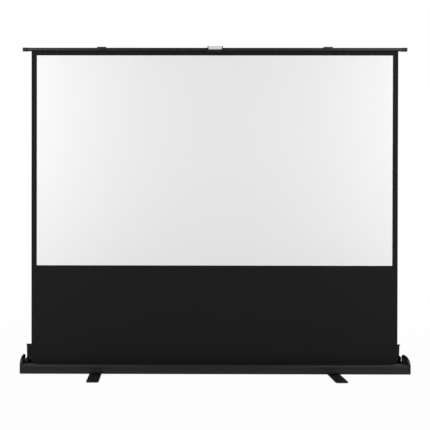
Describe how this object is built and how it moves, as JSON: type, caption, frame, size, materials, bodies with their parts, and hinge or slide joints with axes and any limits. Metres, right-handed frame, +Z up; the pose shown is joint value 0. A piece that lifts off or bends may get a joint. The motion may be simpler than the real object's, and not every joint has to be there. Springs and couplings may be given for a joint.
{
  "type": "portable projection screen",
  "caption": "Floor-standing pull-up projection screen: a cloth on a sprung roller in a flat lidded case, held up by folding arms behind it",
  "frame": {"origin": "on the floor, under the middle of the case", "axes": "+X to the right of someone who faces the picture, +Y away from them, +Z up"},
  "size_m": [1.922, 0.34, 1.6298],
  "materials": {
    "black_aluminium": "satin black coating on extruded aluminium, faint lengthwise lines",
    "black_plastic": "moulded black plastic, fine grain",
    "black_steel": "black powder coat on sheet steel",
    "bright_steel": "zinc-plated steel",
    "spring_steel": "oiled spring steel",
    "silver_plastic": "silver-grey satin plastic",
    "white_nylon": "natural white nylon",
    "black_rubber": "black rubber",
    "raw_aluminium": "plain drawn aluminium tube",
    "screen_cloth": "matt white projection cloth with a black border and a black back",
    "black_cloth": "matt black end of the same cloth"
  },
  "bodies": {
    "case": {"case_body": "black_aluminium", "end_cap_left": "black_plastic", "end_cap_right": "black_plastic", "end_cap_screw_left_1": "bright_steel", "end_cap_screw_left_2": "bright_steel", "end_cap_screw_right_1": "bright_steel", "end_cap_screw_right_2": "bright_steel", "foot_pivot_bolt_left": "bright_steel", "foot_pivot_bolt_right": "bright_steel", "foot_washer_left": "white_nylon", "foot_washer_right": "white_nylon", "spring_arbor": "bright_steel", "roller_idle_pin": "bright_steel", "roller_spring": "spring_steel", "base_bracket_left": "black_steel", "base_bracket_right": "black_steel", "base_pin_left": "bright_steel", "base_pin_right": "bright_steel", "lift_spring_left": "spring_steel", "lift_spring_right": "spring_steel", "carry_handle_ear_left": "black_plastic", "carry_handle_ear_right": "black_plastic", "screen_sheet": "screen_cloth"},
    "lid": {"lid_panel": "black_aluminium", "lid_end_plug_left": "black_plastic", "lid_end_plug_right": "black_plastic"},
    "foot_left": {"foot_bar_left": "black_steel", "foot_pad_left_front": "black_rubber", "foot_pad_left_back": "black_rubber"},
    "foot_right": {"foot_bar_right": "black_steel", "foot_pad_right_front": "black_rubber", "foot_pad_right_back": "black_rubber"},
    "roller": {"roller_tube": "raw_aluminium", "wound_fabric": "black_cloth", "roller_plug_left": "black_plastic", "roller_plug_right": "black_plastic"},
    "arm_lower_left": {"lower_arm_left": "black_aluminium", "elbow_pin_left": "bright_steel", "elbow_washer_left": "white_nylon"},
    "arm_lower_right": {"lower_arm_right": "black_aluminium", "elbow_pin_right": "bright_steel", "elbow_washer_right": "white_nylon"},
    "arm_upper_left": {"upper_arm_left": "black_aluminium"},
    "arm_upper_right": {"upper_arm_right": "black_aluminium"},
    "bar": {"top_bar": "black_aluminium", "top_bar_plug_left": "black_plastic", "top_bar_plug_right": "black_plastic", "hem_rod": "spring_steel", "handle_base": "black_plastic", "handle_grip": "silver_plastic", "bar_bracket_left": "black_steel", "bar_bracket_right": "black_steel", "top_pin_left": "bright_steel", "top_pin_right": "bright_steel"},
    "carry_handle": {"carry_handle": "black_plastic"}
  },
  "joints": [
    {"name": "lift", "type": "hinge", "parent": "case", "child": "arm_lower_left", "pos_m": [-0.562, 0.0207, 0.04], "axis": [0, 1, 0], "range_deg": [0, 74.82], "deforming": ["screen_sheet", "lift_spring_left"]},
    {"name": "elbow_left", "type": "hinge", "parent": "arm_lower_left", "child": "arm_upper_left", "pos_m": [-0.35407, 0.0174, 0.816], "axis": [0, 1, 0], "range_deg": [-149.7, 0]},
    {"name": "bar_level", "type": "hinge", "parent": "arm_upper_left", "child": "bar", "pos_m": [-0.562, 0.0141, 1.592], "axis": [0, 1, 0], "range_deg": [0, 74.9]},
    {"name": "lift_right", "type": "hinge", "parent": "case", "child": "arm_lower_right", "pos_m": [0.562, 0.0303, 0.04], "axis": [0, 1, 0], "range_deg": [-74.9, 0], "deforming": ["lift_spring_right"]},
    {"name": "elbow_right", "type": "hinge", "parent": "arm_lower_right", "child": "arm_upper_right", "pos_m": [0.35407, 0.0336, 0.816], "axis": [0, 1, 0], "range_deg": [0, 149.7]},
    {"name": "roller_spin", "type": "hinge", "parent": "case", "child": "roller", "pos_m": [0, -0.0164, 0.036], "axis": [1, 0, 0], "range_deg": [-5240, 0]},
    {"name": "lid_hinge", "type": "hinge", "parent": "case", "child": "lid", "pos_m": [0, 0.048, 0.057], "axis": [1, 0, 0], "range_deg": [0, 13]},
    {"name": "foot_swivel_left", "type": "hinge", "parent": "case", "child": "foot_left", "pos_m": [-0.59, 0, 0.0075], "axis": [0, 0, 1], "range_deg": [0, 90]},
    {"name": "foot_swivel_right", "type": "hinge", "parent": "case", "child": "foot_right", "pos_m": [0.59, 0, 0.0075], "axis": [0, 0, -1], "range_deg": [0, 90]},
    {"name": "carry_handle_pivot", "type": "hinge", "parent": "case", "child": "carry_handle", "pos_m": [0, 0.0565, 0.0398], "axis": [1, 0, 0], "range_deg": [0, 90]}
  ],
  "couplings": [
    {"joint": "elbow_left", "follows": "lift", "ratio": -2},
    {"joint": "bar_level", "follows": "lift", "ratio": 1},
    {"joint": "lift_right", "follows": "lift", "ratio": -1},
    {"joint": "elbow_right", "follows": "lift", "ratio": 2},
    {"joint": "roller_spin", "follows": "lift", "ratio": -70}
  ]
}
